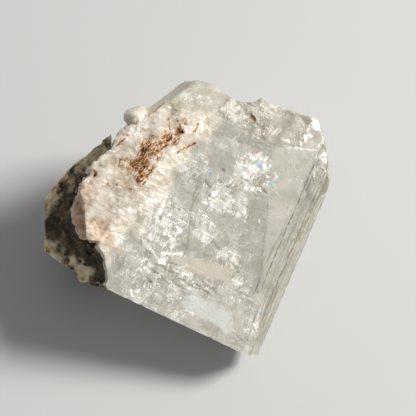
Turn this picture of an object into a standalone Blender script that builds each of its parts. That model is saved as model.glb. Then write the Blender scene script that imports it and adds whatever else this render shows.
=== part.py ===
"""Adularia crystal: one loose, partly broken feldspar crystal, resting on its worn underside.

The crystal is one solid.  A body block carries the big bright faces, and a lower end block sticks out
where the left end of the body broke away.  Knobs, growth ledges, chips and a pit finish it.  Its
origin is the middle of its base, +Z is up, and +X runs along its length towards the sound end.
"""

import math

import bmesh
import bpy
from mathutils import Matrix, Vector, noise

MM = 0.001
NODE = "adularia_crystal"
# The uncut blank, and a reach that takes a cutting tool right through it (mm).
BLANK = 90.0
REACH = 40.0

# A face of a block: the bearing it looks towards (degrees, +X is 0 and +Y is 90), its slope (degrees,
# 90 looks straight up) and its distance from the setting-out point on the base plane (mm).
BROAD = (-60.2, 62.1, 14.25)
BAND = (-51.8, 59.3, 14.8)
SIDE = (-26.0, 7.0, 15.95)
MILKY = (-98.2, 76.5, 17.05)
BODY_FACES = {
    "broad": BROAD,
    "band": BAND,
    "side": SIDE,
    "milky": MILKY,
    "frosted": (-37.0, 67.0, 16.7),
    "wedge": (-33.7, 82.0, 18.7),
    "bevel": (134.0, 55.9, 21.25),
    "front": (-123.2, -34.5, 6.35),
    "back": (77.2, 7.5, 15.9),
    "back_corner": (16.0, 2.9, 20.0),
    "right_corner": (-0.8, -0.7, 18.0),
    "left_back": (131.9, 7.9, 13.0),
    "under_right": (-12.0, -38.0, 8.3),
    "under_front": (-62.0, -72.0, 4.1),
    "under_left": (-150.0, -40.0, 7.4),
    "under_back": (80.0, -38.0, 10.0),
    "base": (0.0, -90.0, 0.0),
}
END_FACES = {
    "roof": (-173.6, 64.8, 17.15),
    "pane": (-140.2, 46.2, 16.8),
    "wall": (171.5, -13.6, 15.25),
    "shoulder": (137.8, 5.6, 15.55),
    "back": (124.8, 5.5, 13.9),
    "undercut": (-119.7, -41.1, 5.35),
    "under_left": (-166.0, -50.0, 10.8),
    "under_back": (128.0, -34.0, 10.3),
    "root": (0.0, 0.0, -9.7),
    "base": (0.0, -90.0, 0.0),
}
# Faces that weathered or broke rough; all others stayed flat and glassy.
ROUGH_FACES = ("milky", "frosted", "back", "back_corner", "left_back", "roof", "under_back")

# Where the left end of the body broke away, seen from above (mm), from the back edge to the front.
BREAK_EDGE = [
    (-6.9, 8.6), (-8.4, 6.3), (-9.2, 4.3), (-10.7, 3.0), (-12.1, 1.5), (-11.9, 0.7), (-13.0, -0.6),
    (-13.2, -1.9), (-13.9, -3.6), (-13.9, -5.3), (-12.7, -7.5), (-10.6, -7.9), (-10.7, -8.5),
    (-10.0, -9.4), (-9.8, -10.6), (-9.5, -12.0), (-9.8, -12.7), (-9.2, -14.4),
]
BREAK_OUTSIDE = [(-14.0, -24.0), (-34.0, -20.0), (-34.0, 20.0), (-10.0, 24.0), (-3.0, 13.0)]
# A ledge just inside that break, where one more sheet came off.
LEDGE_EDGE = [(-16.0, 0.0), (-13.3, -1.2), (-12.7, -3.2), (-12.3, -5.6), (-12.0, -9.0), (-16.0, -8.0)]
LEDGE_DROP = 1.7
# How far a tool with a drawn outline stands above the faces it cuts.
OUTLINE_RISE = 12.0

# Growth ledges beside the right edge: distance in from the edge, drop below the band (mm), and turn
# from the edge's line (degrees).
GROWTH_LEDGES = [(1.3, 0.26, 1.2), (2.6, 0.13, -1.2)]
LEDGE_OVERRUN = 8.0

# Knobs grown on it or left by the break: centre and half-sizes (mm).
KNOBS = {
    "nodule": ((-6.3, 8.5, 18.7), (1.75, 1.5, 1.35)),
    "crumb_back": ((-11.8, 1.6, 16.4), (0.9, 0.8, 0.8)),
    "crumb_edge": ((-12.4, 0.3, 15.9), (0.8, 0.8, 0.9)),
    "foot_left": ((-13.0, -8.4, 7.5), (1.0, 0.9, 0.8)),
    "foot_front": ((-11.5, -9.6, 8.1), (0.9, 0.8, 0.9)),
    "rim_lobe": ((17.1, 3.8, 11.0), (1.4, 2.3, 2.3)),
}
# Bites taken out of it: centre, half-sizes (mm) and turn about the vertical (degrees).
BITES = {
    "back_chip": ((6.9, 14.3, 18.6), (4.2, 3.4, 5.0), -13.0),
    "rim_notch": ((18.7, 4.6, 13.6), (1.6, 0.8, 1.6), 0.0),
    "pit": ((8.55, 8.95, 17.55), (0.38, 0.75, 0.75), 20.0),
    "roof_hole": ((-12.6, 3.6, 13.6), (0.9, 0.7, 0.6), 40.0),
    "roof_hole_low": ((-13.4, 1.2, 13.3), (0.7, 0.9, 0.6), 10.0),
}
# How uneven a knob's skin is, as a share of its size, and how many bumps go round it.
KNOB_UNEVEN = 0.16
KNOB_BUMPS = 1.7

# Weathered relief (mm): the longest edge left in a rough face, how far its lumps rise and sink, how
# wide they are, and how far they stay above the surface that the crystal rests on.
RELIEF_EDGE = 1.15
RELIEF_RISE = 0.3
RELIEF_LUMP = 2.6
RELIEF_PASSES = 5
BASE_CLEARANCE = 0.05
# Slivers thinner than this (mm) that the cuts leave are closed up.
SLIVER = 0.01
# A mesh face belongs to a flat face if it is this parallel and this near to it (cosine, mm).
SAME_DIRECTION = 0.995
SAME_PLANE = 1.0

SKIN_RGB = (0.56, 0.54, 0.47, 1.0)
SKIN_ROUGHNESS = 0.28


def facing(bearing, slope):
    """Unit vector towards a bearing and a slope, both in degrees."""
    b = math.radians(bearing)
    s = math.radians(slope)
    return Vector((math.cos(s) * math.cos(b), math.cos(s) * math.sin(b), math.sin(s)))


def height_on(face, x, y):
    """Height of a face above the base plane at a place seen from above."""
    bearing, slope, distance = face
    normal = facing(bearing, slope)
    return (distance - normal.x * x - normal.y * y) / normal.z


def add_object(name, bm):
    """Turn a closed bmesh into an object, with its faces pointing out."""
    bmesh.ops.recalc_face_normals(bm, faces=bm.faces)
    mesh = bpy.data.meshes.new(name)
    bm.to_mesh(mesh)
    bm.free()
    obj = bpy.data.objects.new(name, mesh)
    bpy.context.scene.collection.objects.link(obj)
    return obj


def slice_off(bm, face):
    """Cut away what lies beyond one face and close the cut."""
    bearing, slope, distance = face
    normal = facing(bearing, slope)
    geom = bm.verts[:] + bm.edges[:] + bm.faces[:]
    cut = bmesh.ops.bisect_plane(
        bm, geom=geom, plane_co=normal * distance, plane_no=normal, clear_outer=True
    )
    rim = [item for item in cut["geom_cut"] if isinstance(item, bmesh.types.BMEdge)]
    if rim:
        bmesh.ops.contextual_create(bm, geom=rim)


def crystal_block(name, faces):
    """A block with flat faces: a blank cut by one plane for each face."""
    bm = bmesh.new()
    bmesh.ops.create_cube(bm, size=BLANK)
    for face in faces.values():
        slice_off(bm, face)
    return add_object(name, bm)


def combine(target, tool, operation):
    """Join a tool to the target or cut it away, then throw the tool away."""
    step = target.modifiers.new(operation.title(), "BOOLEAN")
    step.operation = operation
    step.solver = "EXACT"
    step.object = tool
    graph = bpy.context.evaluated_depsgraph_get()
    result = bpy.data.meshes.new_from_object(target.evaluated_get(graph))
    target.modifiers.clear()
    target.data = result
    bpy.data.objects.remove(tool)


def outline_tool(name, outline, depth):
    """A tool with an outline drawn on the crystal's top, carried along the broad face's normal."""
    lean = facing(BROAD[0], BROAD[1])
    bm = bmesh.new()
    low = []
    high = []
    for x, y in outline:
        z = min(height_on(BROAD, x, y), height_on(MILKY, x, y))
        low.append(bm.verts.new(Vector((x, y, z)) - lean * depth))
        high.append(bm.verts.new(Vector((x, y, z)) + lean * OUTLINE_RISE))
    bm.faces.new(low)
    bm.faces.new(list(reversed(high)))
    count = len(outline)
    for i in range(count):
        j = (i + 1) % count
        bm.faces.new((low[j], low[i], high[i], high[j]))
    return add_object(name, bm)


def box_tool(name, axes, low, high):
    """A box given by three axes at right angles and its reach along each of them."""
    bm = bmesh.new()
    bmesh.ops.create_cube(bm, size=1.0)
    frame = Matrix(axes).transposed().to_4x4()
    middle = Matrix.Translation((high + low) / 2)
    stretch = Matrix.Diagonal(high - low).to_4x4()
    bmesh.ops.transform(bm, matrix=frame @ middle @ stretch, verts=bm.verts)
    return add_object(name, bm)


def cut_growth_ledges(crystal):
    """Low steps beside the right edge, where the last growth layers stopped short of it."""
    band = facing(BAND[0], BAND[1])
    side = facing(SIDE[0], SIDE[1])
    along = band.cross(side).normalized()
    across = along.cross(band)
    overlap = band.dot(side)
    edge = (SIDE[2] - overlap * BAND[2]) / math.sqrt(1.0 - overlap * overlap)
    for inset, drop, turn in GROWTH_LEDGES:
        swing = Matrix.Rotation(math.radians(turn), 3, band)
        axes = (swing @ across, swing @ along, band)
        low = Vector((edge - inset, -REACH, BAND[2] - drop))
        high = Vector((edge + LEDGE_OVERRUN, REACH, BAND[2] + LEDGE_OVERRUN))
        combine(crystal, box_tool("growth_ledge", axes, low, high), "DIFFERENCE")


def lump(name, centre, half_sizes, turn=0.0):
    """A rounded lump, or the bite of one, with a slightly uneven skin."""
    bm = bmesh.new()
    bmesh.ops.create_icosphere(bm, subdivisions=2, radius=1.0)
    for vert in bm.verts:
        vert.co *= 1.0 + KNOB_UNEVEN * noise.noise(vert.co * KNOB_BUMPS + Vector(centre))
    place = Matrix.Translation(centre) @ Matrix.Rotation(math.radians(turn), 4, "Z")
    stretch = Matrix.Diagonal(half_sizes).to_4x4()
    bmesh.ops.transform(bm, matrix=place @ stretch, verts=bm.verts)
    return add_object(name, bm)


def flat_planes():
    """The planes of the faces that stayed flat, as pairs of normal and distance."""
    planes = []
    for faces in (BODY_FACES, END_FACES):
        for name, (bearing, slope, distance) in faces.items():
            if name not in ROUGH_FACES:
                planes.append((facing(bearing, slope), distance))
    return planes


def is_flat(face, planes):
    """True where a mesh face lies on one of the flat, glassy faces."""
    middle = face.calc_center_median()
    for normal, distance in planes:
        near = abs(normal.dot(middle) - distance) < SAME_PLANE
        if near and normal.dot(face.normal) > SAME_DIRECTION:
            return True
    return False


def weather(crystal):
    """Raise lumps and hollows on the broken and weathered faces, and leave the flat ones flat."""
    planes = flat_planes()
    bm = bmesh.new()
    bm.from_mesh(crystal.data)
    bmesh.ops.dissolve_degenerate(bm, dist=SLIVER, edges=bm.edges)
    bmesh.ops.triangulate(bm, faces=bm.faces)
    for _ in range(RELIEF_PASSES):
        long_edges = []
        for edge in bm.edges:
            rough = not all(is_flat(face, planes) for face in edge.link_faces)
            if rough and edge.calc_length() > RELIEF_EDGE:
                long_edges.append(edge)
        if long_edges:
            bmesh.ops.subdivide_edges(bm, edges=long_edges, cuts=1)
            bmesh.ops.triangulate(bm, faces=bm.faces)
    bm.normal_update()
    moves = {}
    for vert in bm.verts:
        if not any(is_flat(face, planes) for face in vert.link_faces):
            rise = noise.fractal(vert.co / RELIEF_LUMP, 1.0, 2.1, 2)
            moves[vert] = vert.normal * rise * RELIEF_RISE
    for vert, move in moves.items():
        vert.co += move
        vert.co.z = max(vert.co.z, BASE_CLEARANCE)
    bm.to_mesh(crystal.data)
    bm.free()


def skin_material():
    """Pale, slightly greenish grey feldspar with a dull gloss."""
    skin = bpy.data.materials.new("adularia")
    skin.use_nodes = True
    shader = skin.node_tree.nodes["Principled BSDF"]
    shader.inputs["Base Color"].default_value = SKIN_RGB
    shader.inputs["Roughness"].default_value = SKIN_ROUGHNESS
    shader.inputs["Metallic"].default_value = 0.0
    return skin


def stand_on_origin(crystal):
    """Move the mesh so that the middle of its base is the origin, and turn millimetres into metres."""
    corners = [vert.co for vert in crystal.data.vertices]
    lowest = Vector(min(co[i] for co in corners) for i in range(3))
    highest = Vector(max(co[i] for co in corners) for i in range(3))
    foot = (lowest + highest) / 2
    foot.z = lowest.z
    crystal.data.transform(Matrix.Scale(MM, 4) @ Matrix.Translation(-foot))


def build():
    for obj in list(bpy.data.objects):
        bpy.data.objects.remove(obj)
    crystal = crystal_block(NODE, BODY_FACES)
    cut_growth_ledges(crystal)
    combine(crystal, outline_tool("break", BREAK_EDGE + BREAK_OUTSIDE, REACH), "DIFFERENCE")
    combine(crystal, crystal_block("end_block", END_FACES), "UNION")
    combine(crystal, outline_tool("ledge", LEDGE_EDGE, LEDGE_DROP), "DIFFERENCE")
    for name, (centre, half_sizes) in KNOBS.items():
        combine(crystal, lump(name, centre, half_sizes), "UNION")
    for name, (centre, half_sizes, turn) in BITES.items():
        combine(crystal, lump(name, centre, half_sizes, turn), "DIFFERENCE")
    weather(crystal)
    stand_on_origin(crystal)
    crystal.data.materials.clear()
    crystal.data.materials.append(skin_material())


build()
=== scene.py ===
"""Looks of a loose adularia crystal: a glassy, cloudy feldspar wedge with rust stains and a broken end."""

import math
import random

import bmesh
import bpy
import numpy as np
from mathutils import Matrix, Vector, geometry, kdtree, noise
from mathutils.bvhtree import BVHTree


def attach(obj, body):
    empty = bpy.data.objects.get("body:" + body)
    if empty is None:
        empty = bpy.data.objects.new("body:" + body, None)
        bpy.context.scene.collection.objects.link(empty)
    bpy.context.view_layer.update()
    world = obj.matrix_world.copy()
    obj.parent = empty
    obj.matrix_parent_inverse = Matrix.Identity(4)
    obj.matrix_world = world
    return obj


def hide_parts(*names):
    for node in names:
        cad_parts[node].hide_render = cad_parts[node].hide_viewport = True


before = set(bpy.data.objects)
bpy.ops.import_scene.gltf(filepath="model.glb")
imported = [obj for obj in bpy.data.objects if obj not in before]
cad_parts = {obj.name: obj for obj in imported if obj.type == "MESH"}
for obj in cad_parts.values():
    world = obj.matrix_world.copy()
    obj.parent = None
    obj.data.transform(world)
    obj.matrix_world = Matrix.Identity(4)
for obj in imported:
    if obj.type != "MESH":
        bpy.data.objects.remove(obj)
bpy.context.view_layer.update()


# ---------------------------------------------------------------------------------------------------
# The crystal.  Adularia is a clear to milky feldspar that grows as a stubby wedge with flat, glassy
# faces.  Its mesh starts from the plain solid: every face is filled with small, even triangles, and
# then the weathered and broken places are worked into them in relief.
MM = 0.001
# The crystal's big faces: the bearing and slope that each looks towards, in degrees.
BROAD = (-60.2, 62.1)
BAND = (-51.8, 59.3)
SIDE = (-26.0, 7.0)
MILKY = (-98.2, 76.5)
FLAT_FACES = [
    BROAD, BAND, SIDE, (-33.7, 82.0), (134.0, 55.9), (-123.2, -34.5), (-0.8, -0.7), (-12.0, -38.0),
    (-62.0, -72.0), (-150.0, -40.0), (80.0, -38.0), (0.0, -90.0), (-140.2, 46.2), (171.5, -13.6),
    (137.8, 5.6), (124.8, 5.5), (-119.7, -41.1), (-166.0, -50.0),
]
FLAT_MATCH = 0.9995
# Where the broad and milky faces pass over the origin (mm), to tell the body from the lower end block.
BROAD_HEIGHT = 15.5
MILKY_HEIGHT = 17.2


def facing(bearing, slope):
    """Unit vector towards a bearing and a slope, both in degrees."""
    b = math.radians(bearing)
    s = math.radians(slope)
    return Vector((math.cos(s) * math.cos(b), math.cos(s) * math.sin(b), math.sin(s)))


def smooth(value, low, high):
    """0 below low, 1 above high, and a soft step between; high may be the lower of the two."""
    t = min(max((value - low) / (high - low), 0.0), 1.0)
    return t * t * (3.0 - 2.0 * t)


# How far apart the mesh points are (mm).
COARSE = 0.5
PLAIN = 0.34
ON_BREAK = 0.22
ON_TOP = 0.2
ON_STAIN = 0.17


def spacing(place):
    """How far apart the mesh points are at a place (mm): close on the stain and the broken edge."""
    x, y, z = place
    if z < 4.0 or y > 13.5:
        return COARSE
    if x < -1.0 and y > -1.0 and z > 15.0:
        return ON_STAIN
    if x < -8.5 and y > -13.5:
        return ON_BREAK
    if abs(below_top(place)) < 0.05 and y < 9.0:
        return ON_TOP
    return PLAIN


def split_edges(bm):
    """Put points along every edge, as close as the finer of its two faces asks."""
    for edge in list(bm.edges):
        step = min(spacing(face.calc_center_median()) for face in edge.link_faces)
        parts = max(int(math.ceil(edge.calc_length() / step)), 1)
        start, end = edge.verts
        for left in range(parts, 1, -1):
            edge, made = bmesh.utils.edge_split(edge, start, 1.0 / left)
            edge = next(e for e in made.link_edges if end in e.verts)
            start = made


def inner_points(outline, step):
    """Points of an even three-way grid that fall well inside an outline."""
    low = outline.min(axis=0)
    high = outline.max(axis=0)
    rise = step * math.sqrt(0.75)
    rows = np.arange(low[1], high[1], rise)
    grid = []
    for count, v in enumerate(rows):
        us = np.arange(low[0] + step * 0.5 * (count % 2), high[0], step)
        grid.append(np.stack([us, np.full_like(us, v)], axis=1))
    if not grid:
        return np.zeros((0, 2))
    points = np.concatenate(grid)
    starts = outline
    ends = np.roll(outline, -1, axis=0)
    inside = np.zeros(len(points), dtype=bool)
    near = np.full(len(points), np.inf)
    for (ax, ay), (bx, by) in zip(starts, ends, strict=True):
        crosses = (ay > points[:, 1]) != (by > points[:, 1])
        if ay != by:
            at = ax + (points[:, 1] - ay) * (bx - ax) / (by - ay)
            inside ^= crosses & (points[:, 0] < at)
        run = np.array([bx - ax, by - ay])
        reach = max(run @ run, 1e-12)
        t = np.clip(((points - (ax, ay)) @ run) / reach, 0.0, 1.0)
        gap = np.linalg.norm(points - (ax, ay) - t[:, None] * run, axis=1)
        near = np.minimum(near, gap)
    return points[inside & (near > 0.5 * step)]


def fill_face(bm, face):
    """Replace one flat face by small triangles that keep its outline."""
    normal = face.normal.copy()
    step = spacing(face.calc_center_median())
    across = normal.orthogonal().normalized()
    along = normal.cross(across)
    ring = [vert for vert in face.verts]
    origin = ring[0].co.copy()
    flat = np.array([((v.co - origin).dot(across), (v.co - origin).dot(along)) for v in ring])
    extra = inner_points(flat, step)
    points = [Vector(p) for p in flat] + [Vector(p) for p in extra]
    found = geometry.delaunay_2d_cdt(points, [], [list(range(len(ring)))], 1, 1e-7)
    places, _, triangles, sources = found[:4]
    verts = []
    for place, source in zip(places, sources, strict=True):
        if source and source[0] < len(ring):
            verts.append(ring[source[0]])
        else:
            verts.append(bm.verts.new(origin + across * place.x + along * place.y))
    bm.faces.remove(face)
    for triangle in triangles:
        corners = [verts[i] for i in triangle]
        if len(set(corners)) == 3 and bm.faces.get(corners) is None:
            made = bm.faces.new(corners)
            made.normal_update()
            if made.normal.dot(normal) < 0.0:
                made.normal_flip()


def fine_mesh(node):
    """The node's mesh in millimetres, filled with small triangles."""
    bm = bmesh.new()
    bm.from_mesh(node.data)
    bmesh.ops.scale(bm, vec=(1.0 / MM,) * 3, verts=bm.verts)
    bmesh.ops.remove_doubles(bm, verts=bm.verts, dist=0.002)
    bmesh.ops.dissolve_limit(bm, angle_limit=math.radians(0.5), verts=bm.verts, edges=bm.edges)
    bm.normal_update()
    split_edges(bm)
    bm.normal_update()
    for face in list(bm.faces):
        fill_face(bm, face)
    bm.normal_update()
    return bm


def face_height(face, height, x, y):
    """Height of a face (mm) at a place seen from above, from its height over the origin."""
    normal = facing(*face)
    return height - (normal.x * x + normal.y * y) / normal.z


def below_top(place):
    """How far a place lies below the body's broad and milky faces (mm)."""
    x, y, z = place
    top = min(face_height(BROAD, BROAD_HEIGHT, x, y), face_height(MILKY, MILKY_HEIGHT, x, y))
    return top - z


# The end block starts this far below the body's top and this far out, and the ledge lies above it (mm).
END_DROP = (1.9, 2.6)
END_REACH = (7.0, 8.8)
END_SWAY = 2.2
LEDGE_DROP = (0.5, 1.0, 2.0, 2.4)
LEDGE_REACH = (11.0, 12.0)


def end_block(place):
    """1 on the broken left end below the overhanging edge, 0 on the body."""
    uneven = END_SWAY * noise.noise(place / 2.5) * smooth(place.y, -4.0, 2.0)
    return smooth(below_top(place), *END_DROP) * smooth(-place.x + uneven, *END_REACH)


def ledge_zone(place):
    """1 on the narrow granular ledge just below the broken edge."""
    drop = below_top(place)
    starts, full, fades, ends = LEDGE_DROP
    return smooth(drop, starts, full) * smooth(drop, ends, fades) * smooth(-place.x, *LEDGE_REACH)


# The relief on the rough places (mm): how wide its lumps are and how far they rise.
MILKY_LUMP = 1.4
MILKY_RISE = 0.09
GRAIN_LUMP = 0.5
GRAIN_RISE = 0.05
CRUMB_SIZE = 1.0
CRUMB_RISE = 0.50
DUST_SIZE = 0.45
DUST_RISE = 0.22
PIT_SIZE = 1.5
PIT_DEPTH = 0.45
NICK_SIZE = 0.8
NICK_DEPTH = 0.10
# Crumbs stand out where their rounded cells are above this height, and sink in between.
CELL_MIDDLE = 0.45
# Edges sharper than this are nicked, and catch the light as edges.
SHARP = math.radians(25.0)
# The glassy strip along the right-hand edge is this wide (mm).
GLASSY_REACH = 4.5
# How rough the milky face and the small knob on the upper left edge are, as a share of the broken
# faces, and where the knob is (mm).
MILKY_SHARE = 0.75
NODULE_SHARE = 0.25
NODULE = Vector((-6.4, 9.8, 18.7))
NODULE_RADIUS = 2.0


def is_flat(face):
    """True on the faces that stayed flat and glassy."""
    return any(face.normal.dot(facing(*flat)) > FLAT_MATCH for flat in FLAT_FACES)


# The crest along the right-hand edge, measured across it from the origin (mm).
CREST = 8.86


def edge_gap(place):
    """How far in a place lies from the crest along the right-hand edge (mm)."""
    band = facing(*BAND)
    side = facing(*SIDE)
    along = band.cross(side).normalized()
    return CREST - place.dot(along.cross(band))


def cells(place, size):
    """Rounded cells crowded together: 1 at a cell's middle and 0 where it meets the next."""
    near = noise.voronoi(place / size)[0]
    return 1.0 - near[0] / max(near[1], 0.001)


def relief(place, fringe):
    """How far a rough place stands out (mm); fringe is 1 along the broken edge."""
    end = end_block(place)
    push = MILKY_RISE * noise.fractal(place / MILKY_LUMP, 1.0, 2.0, 3)
    push += GRAIN_RISE * noise.fractal(place / GRAIN_LUMP, 1.0, 2.0, 2)
    push -= PIT_DEPTH * smooth(cells(place, PIT_SIZE), 0.35, 0.8) * end
    on_nodule = smooth((place - NODULE).length, NODULE_RADIUS + 0.5, NODULE_RADIUS)
    crumbs = max(fringe * (1.0 - end), NODULE_SHARE * on_nodule, ledge_zone(place))
    push += CRUMB_RISE * (cells(place, CRUMB_SIZE) - CELL_MIDDLE) * crumbs
    push += DUST_RISE * (cells(place, DUST_SIZE) - CELL_MIDDLE) * crumbs
    return push


# The lobe on the right-hand rim: its middle and half-sizes (mm).  It levels off with the band.
LOBE = Vector((17.0, 5.1, 11.0))
LOBE_SIZES = (2.4, 3.4, 3.0)
BAND_HEIGHT = 16.59


def within(place, middle, sizes):
    """1 inside a rounded lump, fading out across its skin."""
    off = [(p - c) / size for p, c, size in zip(place, middle, sizes, strict=True)]
    return smooth(math.sqrt(sum(o * o for o in off)), 1.15, 0.85)


def level_lobe(vert):
    """Bring the lobe's top level with the band beside it (mm)."""
    place = vert.co
    over = (place.z - face_height(BAND, BAND_HEIGHT, place.x, place.y)) * facing(*BAND).z
    share = within(place, LOBE, LOBE_SIZES) * smooth(over, -0.9, -0.5)
    return facing(*BAND) * -over * share * smooth(vert.normal.dot(facing(*BAND)), 0.1, 0.4)


# A pocket in the frosted corner is part filled with earth: its middle and half-sizes (mm).
POCKET = Vector((8.49, 10.24, 17.6))
POCKET_SIZES = (0.55, 0.95, 1.2)
POCKET_FILL = 0.6


def fill_pocket(vert):
    """Lift the floor of the pocket to where the earth in it ends (mm)."""
    share = within(vert.co, POCKET, POCKET_SIZES)
    return Vector((0.0, 0.0, POCKET_FILL * share * max(POCKET.z - vert.co.z, 0.0)))


def near_which(bm, chosen):
    """A search tree of the points that pass a test."""
    picked = [vert.co.copy() for vert in bm.verts if chosen(vert.co)]
    tree = kdtree.KDTree(len(picked))
    for index, place in enumerate(picked):
        tree.insert(place, index)
    tree.balance()
    return tree


bm = fine_mesh(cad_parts["adularia_crystal"])
end_tree = near_which(bm, lambda place: end_block(place) > 0.5)
top_tree = near_which(bm, lambda place: place.x < -5.0 and below_top(place) < END_DROP[0])
flat = {face: is_flat(face) for face in bm.faces}
# The broken edge is crumbly this far from the end block, less so towards the front (mm).
FRINGE_REACH = (4.0, 0.8)
FRINGE_SWAY = 0.8


def fringe_of(place):
    """1 on the body's broken edge, fading out over a few millimetres."""
    gap = end_tree.find(place)[2] * (1.0 + 1.8 * smooth(place.y, -4.5, -7.0))
    return smooth(gap + FRINGE_SWAY * noise.noise(place / 1.5), *FRINGE_REACH)


def roughness_at(vert):
    """How rough a point is: 1 on broken and weathered faces, less on the milky part of the flat ones."""
    place = vert.co
    around = [flat[face] for face in vert.link_faces]
    if edge_gap(place) < GLASSY_REACH and below_top(place) < 1.5:
        return 0.0
    if not any(around) or ledge_zone(place) > 0.5:
        return 1.0
    if below_top(place) < 0.4 and vert.normal.z > 0.5 and place.x < 3.0:
        return MILKY_SHARE * (1.0 - clearness(place))
    return 0.0


def weather():
    """Lumps, crumbs and pits on the rough places, and nicks along the edges of the flat ones."""
    moves = []
    for vert in bm.verts:
        place = vert.co
        fringe = fringe_of(place)
        rough = max(rough_of[vert.index], fringe)
        if rough > 0.0:
            moves.append((vert, vert.normal * relief(place, fringe) * rough))
        elif all(flat[face] for face in vert.link_faces):
            bend = max(edge.calc_face_angle(0.0) for edge in vert.link_edges)
            if bend > SHARP:
                nick = smooth(noise.noise(place / NICK_SIZE), 0.05, 0.5)
                moves.append((vert, vert.normal * -NICK_DEPTH * nick))
    for vert, move in moves:
        vert.co += move
    bm.normal_update()
    for vert in bm.verts:
        vert.co += level_lobe(vert) + fill_pocket(vert)
        vert.co.z = max(vert.co.z, 0.0)
    bm.normal_update()


# Rust and iron stains lie in the milky face: each streak is a line seen from above (mm), with its
# half-width and its strength.
RUST_STREAKS = [
    ([(-6.6, 2.6), (-6.0, 3.3), (-5.5, 3.3), (-5.2, 4.2), (-4.9, 5.2)], 0.75, 0.85),
    ([(-5.7, 1.0), (-5.6, 2.0), (-5.2, 3.0)], 0.6, 0.95),
    ([(-5.1, 4.3), (-4.8, 5.8), (-4.2, 6.1)], 0.7, 0.62),
    ([(-3.9, 4.5), (-3.1, 5.6), (-2.3, 6.6)], 0.8, 0.68),
    ([(-3.5, 4.6), (-2.8, 5.45), (-1.8, 6.8)], 0.22, 1.0),
    ([(-5.1, 0.8), (-4.4, 2.2), (-3.5, 3.6), (-2.9, 4.9)], 0.22, 0.72),
    ([(-1.6, 6.0), (-1.0, 7.2), (-0.4, 8.4)], 0.5, 0.72),
    ([(-0.9, 7.3), (-0.4, 7.2)], 0.2, 1.15),
    ([(-0.9, 7.6), (-1.2, 8.9)], 0.1, 0.9),
    ([(1.5, 8.4), (1.2, 7.7), (0.5, 7.0)], 0.1, 1.0),
    ([(-1.3, 4.6), (0.0, 5.5), (1.1, 6.1)], 0.13, 0.95),
    ([(-0.5, 5.2), (0.5, 5.8)], 0.2, 0.85),
    ([(-2.3, 9.3), (-2.1, 7.6)], 0.08, 0.8),
    ([(-4.6, 9.8), (-3.9, 10.4), (-2.9, 11.3)], 0.12, 0.8),
    ([(-8.3, 3.7), (-7.4, 3.9), (-6.9, 3.2), (-7.1, 2.6)], 0.22, 0.72),
    ([(-9.4, 3.4), (-8.1, 3.3)], 0.35, 0.5),
    ([(-7.0, 2.2), (-6.5, 1.6), (-6.0, 1.2)], 0.4, 0.6),
    ([(-7.7, 6.5), (-8.8, 5.6)], 0.11, 1.0),
    ([(-11.8, 2.4), (-11.2, 2.1), (-11.5, 1.7)], 0.2, 0.8),
    ([(-5.8, 7.4), (-5.75, 7.45)], 0.1, 1.1),
    ([(-5.0, 7.8), (-4.95, 7.8)], 0.1, 1.0),
    ([(-7.4, 6.9), (-7.35, 6.9)], 0.12, 0.9),
    ([(-1.3, 10.3), (-1.25, 10.2)], 0.1, 0.9),
    ([(-1.75, 9.8), (-1.7, 9.7)], 0.1, 0.8),
    ([(-9.8, 0.7), (-9.7, 0.6)], 0.15, 0.7),
    ([(-8.8, 0.4), (-8.6, 0.5)], 0.15, 0.7),
    ([(-8.3, 1.8), (-7.5, 0.5), (-6.6, -0.6)], 0.3, 0.42),
    ([(8.4, 10.6), (8.7, 9.8)], 0.32, 0.26),
]


def line_gap(xs, ys, line):
    """Distance from places to a line of points, all seen from above."""
    best = np.full(np.shape(xs), np.inf)
    for (ax, ay), (bx, by) in zip(line, line[1:]):
        run_x = bx - ax
        run_y = by - ay
        reach = run_x * run_x + run_y * run_y
        t = np.clip(((xs - ax) * run_x + (ys - ay) * run_y) / reach, 0.0, 1.0)
        best = np.minimum(best, np.hypot(xs - ax - t * run_x, ys - ay - t * run_y))
    return best


def soft(values, low, high):
    """The same soft step as smooth, for many values at once."""
    t = np.clip((values - low) / (high - low), 0.0, 1.0)
    return t * t * (3.0 - 2.0 * t)


# The rust lies on the top alone, from this height up (mm).
RUSTY_FROM = 15.5


def rust_over(points):
    """How strong the iron stain is at each place, from 0 to about 1."""
    strong = np.zeros(len(points))
    for line, width, strength in RUST_STREAKS:
        gap = line_gap(points[:, 0], points[:, 1], line) / width
        strong = np.maximum(strong, strength * soft(gap, 1.9, 0.2))
    return strong * (points[:, 2] > RUSTY_FROM)


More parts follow.
